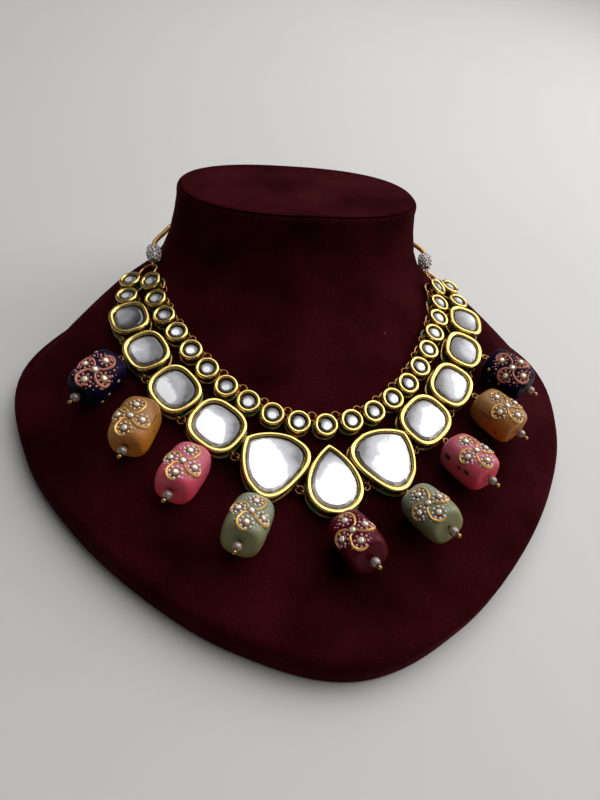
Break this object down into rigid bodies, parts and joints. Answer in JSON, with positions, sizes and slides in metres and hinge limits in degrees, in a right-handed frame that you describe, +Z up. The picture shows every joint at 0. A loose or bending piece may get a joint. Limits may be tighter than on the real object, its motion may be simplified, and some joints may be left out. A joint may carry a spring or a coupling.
{
  "type": "kundan necklace on a plain neck bust",
  "caption": "Bridal necklace with two rows of foil-backed glass stones in gold settings, painted barrel drops with pearls, and a gold cord, held on a plain low velvet neck bust.",
  "frame": {"origin": "under the middle of the bust, on the surface that it stands on", "axes": "+X to the right of someone who faces the bust, -Y from the neck towards the bust's front tip, +Z up"},
  "size_m": [0.2198, 0.209, 0.0688],
  "materials": {
    "velvet": "short-pile velvet",
    "gold": "polished gold plate",
    "stone": "foil-backed bevelled glass",
    "bead_maroon": "painted and polished",
    "bead_green": "painted and polished",
    "bead_pink": "painted and polished",
    "bead_amber": "painted and polished",
    "bead_navy": "painted and polished",
    "pearl": "pearl lustre",
    "seed_beads": "silvered seed beads",
    "cord": "twisted metallic thread"
  },
  "bodies": {
    "root": {"bust": "velvet", "inner_row_settings": "gold", "inner_row_stones": "stone", "inner_row_rings": "gold", "outer_row_rings": "gold", "outer_end_settings": "gold", "outer_end_stones": "stone", "middle_pear_setting": "gold", "middle_pear_stone": "stone", "bead_maroon": "bead_maroon", "headpin_maroon": "gold", "flank_pear_right_setting": "gold", "flank_pear_right_stone": "stone", "cushion_1_right_setting": "gold", "cushion_1_right_stone": "stone", "cushion_2_right_setting": "gold", "cushion_2_right_stone": "stone", "cushion_3_right_setting": "gold", "cushion_3_right_stone": "stone", "cushion_4_right_setting": "gold", "cushion_4_right_stone": "stone", "flank_pear_left_setting": "gold", "flank_pear_left_stone": "stone", "cushion_1_left_setting": "gold", "cushion_1_left_stone": "stone", "cushion_2_left_setting": "gold", "cushion_2_left_stone": "stone", "cushion_3_left_setting": "gold", "cushion_3_left_stone": "stone", "cushion_4_left_setting": "gold", "cushion_4_left_stone": "stone", "bead_green_right": "bead_green", "headpin_green_right": "gold", "bead_pink_right": "bead_pink", "headpin_pink_right": "gold", "bead_amber_right": "bead_amber", "headpin_amber_right": "gold", "bead_navy_right": "bead_navy", "headpin_navy_right": "gold", "bead_green_left": "bead_green", "headpin_green_left": "gold", "bead_pink_left": "bead_pink", "headpin_pink_left": "gold", "bead_amber_left": "bead_amber", "headpin_amber_left": "gold", "bead_navy_left": "bead_navy", "headpin_navy_left": "gold", "pearls": "pearl", "end_ring_right": "gold", "end_loop_right": "gold", "seed_knot_right": "seed_beads", "dori_right": "cord", "end_ring_left": "gold", "end_loop_left": "gold", "seed_knot_left": "seed_beads", "dori_left": "cord", "slide_bead": "gold"}
  },
  "joints": []
}
